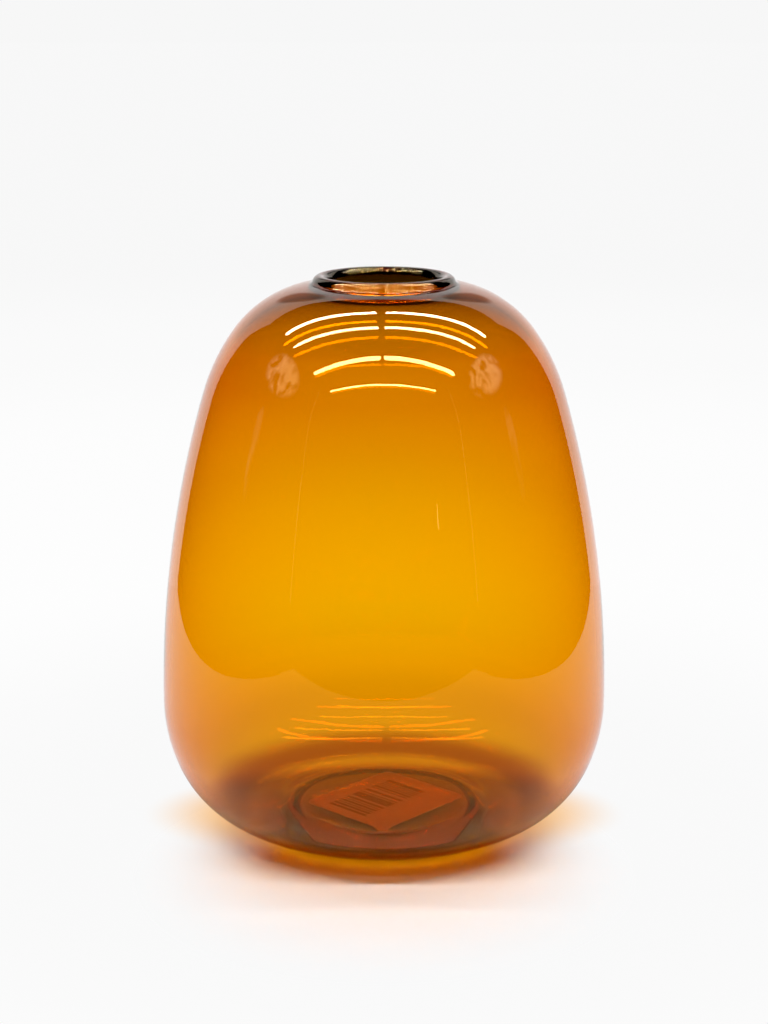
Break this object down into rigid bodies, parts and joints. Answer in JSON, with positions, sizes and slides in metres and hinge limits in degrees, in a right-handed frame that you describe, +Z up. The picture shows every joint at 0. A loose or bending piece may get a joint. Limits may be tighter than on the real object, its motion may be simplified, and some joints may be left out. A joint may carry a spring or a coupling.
{
  "type": "gourd vase",
  "caption": "Gourd-shaped vase of thin clear amber glass with high round shoulders, a wide low belly, a small mouth with a rolled lip and a pushed-up base with a paper label under it.",
  "frame": {"origin": "middle of the standing ring, on the surface that the vase stands on", "axes": "+Z up along the vase's axis of revolution, through the mouth; +X to the right and +Y away from the camera of the picture"},
  "size_m": [0.15, 0.15, 0.187],
  "materials": {
    "amber_glass": "clear, fire-polished",
    "label_paper": "matt"
  },
  "bodies": {
    "root": {"glass_vessel": "amber_glass", "base_label": "label_paper"}
  },
  "joints": []
}
